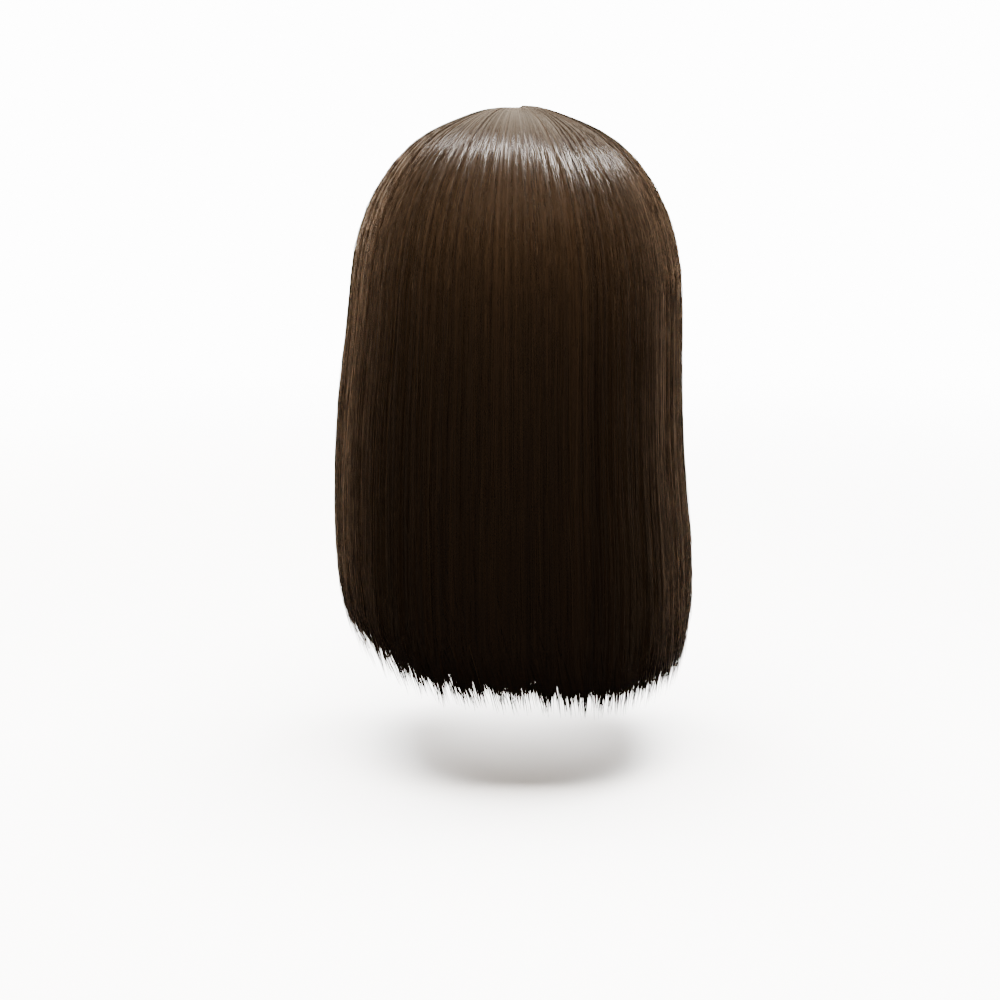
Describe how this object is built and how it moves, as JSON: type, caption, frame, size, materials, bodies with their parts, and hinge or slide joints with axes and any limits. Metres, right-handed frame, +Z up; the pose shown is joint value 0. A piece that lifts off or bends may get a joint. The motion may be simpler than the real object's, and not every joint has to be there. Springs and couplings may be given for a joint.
{
  "type": "bob wig",
  "caption": "Straight shoulder-length bob wig with a middle parting, a blunt hem, layered dark brown hair and a thin open cap inside, in its worn shape.",
  "frame": {"origin": "the inside of the cap's top, where it rests on the head, on the vertical axis of the head", "axes": "+Z up, the face opening looks along -Y, +X is the wearer's left"},
  "size_m": [0.2056, 0.193, 0.3176],
  "materials": {
    "hair": "straight dark brown hair fibres with a silky sheen",
    "under_hair": "straight hair fibres of the hidden under layer, nearly black",
    "cap": "thin dark knitted net with rows of sewn weft",
    "parting_strip": "matte base cloth that shows as a light line in the parting"
  },
  "bodies": {
    "root": {"wig_cap": "cap", "parting_strip": "parting_strip", "under_hair_back": "under_hair", "under_hair_left": "under_hair", "under_hair_right": "under_hair", "top_hair_back": "hair", "top_hair_left": "hair", "top_hair_right": "hair", "front_hair_left": "hair", "front_hair_right": "hair"}
  },
  "joints": []
}
